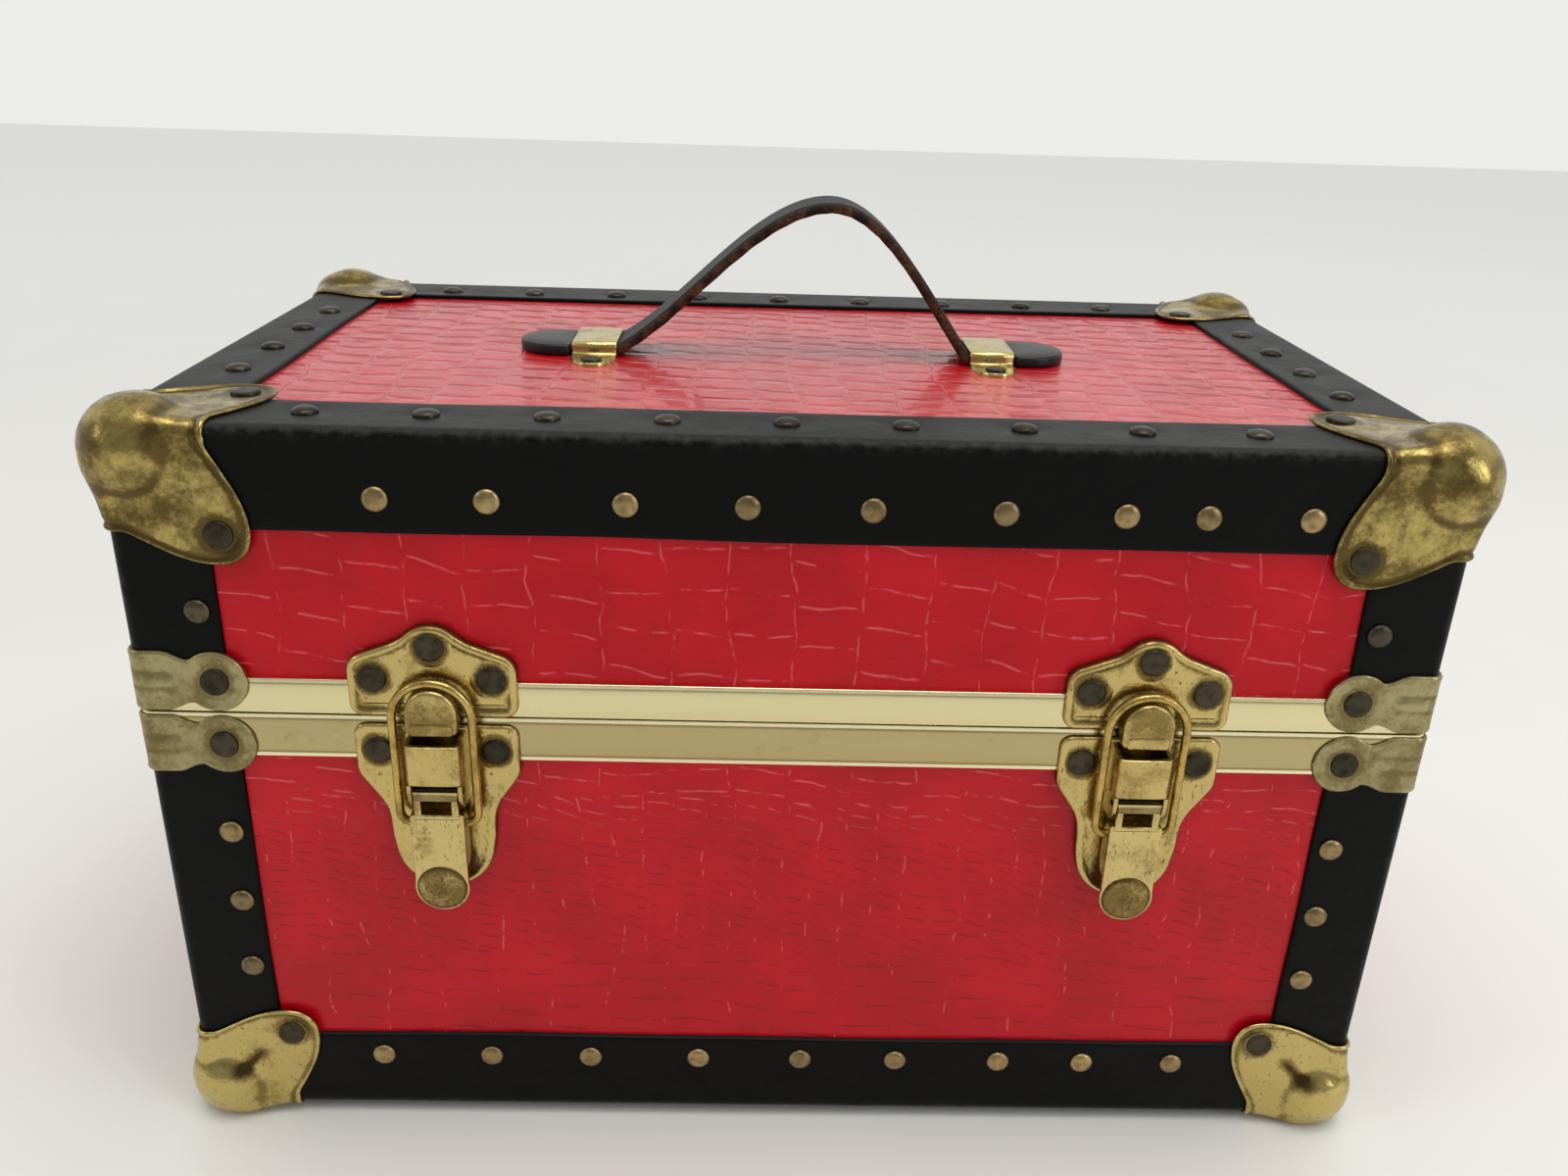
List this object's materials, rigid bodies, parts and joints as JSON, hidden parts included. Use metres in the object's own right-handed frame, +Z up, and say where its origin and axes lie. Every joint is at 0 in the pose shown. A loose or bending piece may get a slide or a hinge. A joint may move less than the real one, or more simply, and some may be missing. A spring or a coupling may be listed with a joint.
{
  "type": "trunk-style jewellery case",
  "caption": "Small hard trunk-style jewellery case with bound edges, ball corners, gold seam rails, twin draw latches, strap handle, hinged lid and lift-out tray.",
  "frame": {"origin": "centre of the footprint (bounding box), on the plane of the four corner feet", "axes": "+Z up; -Y is the front with the two latches; +X is to the right seen from the front"},
  "size_m": [0.368, 0.2266, 0.2705],
  "materials": {
    "red_vinyl": "croc-embossed gloss vinyl over board",
    "black_binding": "smooth fine-grain leatherette binding",
    "gold_rail": "pale gold anodised extrusion",
    "brass_hardware": "brass-plated pressed sheet, tarnished",
    "brass_rivet": "domed trim rivets, dulled brass",
    "bronze_rivet": "dark flat rivet heads",
    "strap_leather": "black top, rough brown edge and underside",
    "paddle_leather": "smooth black strap end",
    "lining_cloth": "short-pile lining",
    "tray_wood": "plain sanded board",
    "ring_foam": "velvet over foam rolls"
  },
  "bodies": {
    "base": {"base_front_panel": "red_vinyl", "base_back_panel": "red_vinyl", "base_left_panel": "red_vinyl", "base_right_panel": "red_vinyl", "base_bottom_panel": "red_vinyl", "base_rail": "gold_rail", "base_bottom_binding": "black_binding", "base_upright_binding": "black_binding", "base_front_left_cap": "brass_hardware", "base_front_right_cap": "brass_hardware", "base_back_left_cap": "brass_hardware", "base_back_right_cap": "brass_hardware", "base_clamps": "brass_hardware", "left_latch_plate": "brass_hardware", "right_latch_plate": "brass_hardware", "latch_pins": "brass_hardware", "left_hinge_base_leaf": "brass_hardware", "right_hinge_base_leaf": "brass_hardware", "base_trim_rivets": "brass_rivet", "base_plate_rivets": "bronze_rivet", "hinge_pins": "bronze_rivet", "base_lining": "lining_cloth", "tray_cleats": "tray_wood"},
    "lid": {"lid_front_panel": "red_vinyl", "lid_back_panel": "red_vinyl", "lid_left_panel": "red_vinyl", "lid_right_panel": "red_vinyl", "lid_top_panel": "red_vinyl", "lid_rail": "gold_rail", "lid_top_binding": "black_binding", "lid_upright_binding": "black_binding", "lid_front_left_cap": "brass_hardware", "lid_front_right_cap": "brass_hardware", "lid_back_left_cap": "brass_hardware", "lid_back_right_cap": "brass_hardware", "lid_clamps": "brass_hardware", "left_latch_keeper": "brass_hardware", "right_latch_keeper": "brass_hardware", "left_hinge_lid_leaf": "brass_hardware", "right_hinge_lid_leaf": "brass_hardware", "left_handle_loop": "brass_hardware", "right_handle_loop": "brass_hardware", "lid_trim_rivets": "brass_rivet", "lid_plate_rivets": "bronze_rivet", "lid_lining": "lining_cloth", "handle_strap": "strap_leather"},
    "left_lever_body": {"left_lever": "brass_hardware"},
    "right_lever_body": {"right_lever": "brass_hardware"},
    "left_bail_body": {"left_bail": "brass_hardware"},
    "right_bail_body": {"right_bail": "brass_hardware"},
    "left_paddle_body": {"left_paddle": "paddle_leather"},
    "right_paddle_body": {"right_paddle": "paddle_leather"},
    "tray": {"tray_frame": "tray_wood", "tray_dividers": "tray_wood", "tray_ring_rolls": "ring_foam", "tray_pull_tabs": "paddle_leather"}
  },
  "joints": [
    {"name": "lid_hinge", "type": "hinge", "parent": "base", "child": "lid", "pos_m": [0, 0.1071, 0.142], "axis": [-1, 0, 0], "range_deg": [0, 105]},
    {"name": "left_lever_hinge", "type": "hinge", "parent": "base", "child": "left_lever_body", "pos_m": [-0.0975, -0.1099, 0.1222], "axis": [-1, 0, 0], "range_deg": [0, 92]},
    {"name": "left_bail_hinge", "type": "hinge", "parent": "left_lever_body", "child": "left_bail_body", "pos_m": [-0.0975, -0.1084, 0.111], "axis": [-1, 0, 0], "range_deg": [-105.04, 0]},
    {"name": "right_lever_hinge", "type": "hinge", "parent": "base", "child": "right_lever_body", "pos_m": [0.0975, -0.1099, 0.1222], "axis": [-1, 0, 0], "range_deg": [0, 92]},
    {"name": "right_bail_hinge", "type": "hinge", "parent": "right_lever_body", "child": "right_bail_body", "pos_m": [0.0975, -0.1084, 0.111], "axis": [-1, 0, 0], "range_deg": [-105.04, 0]},
    {"name": "left_paddle_slide", "type": "slide", "parent": "lid", "child": "left_paddle_body", "axis": [-1, 0, 0], "range_m": [0, 0.012], "deforming": ["handle_strap"]},
    {"name": "right_paddle_slide", "type": "slide", "parent": "lid", "child": "right_paddle_body", "axis": [1, 0, 0], "range_m": [0, 0.012]},
    {"name": "tray_lift", "type": "slide", "parent": "base", "child": "tray", "axis": [0, 0, 1], "range_m": [0, 0.06]}
  ],
  "couplings": [
    {"joint": "left_bail_hinge", "follows": "left_lever_hinge", "ratio": -1.12},
    {"joint": "right_bail_hinge", "follows": "right_lever_hinge", "ratio": -1.12},
    {"joint": "right_paddle_slide", "follows": "left_paddle_slide", "ratio": 1}
  ]
}
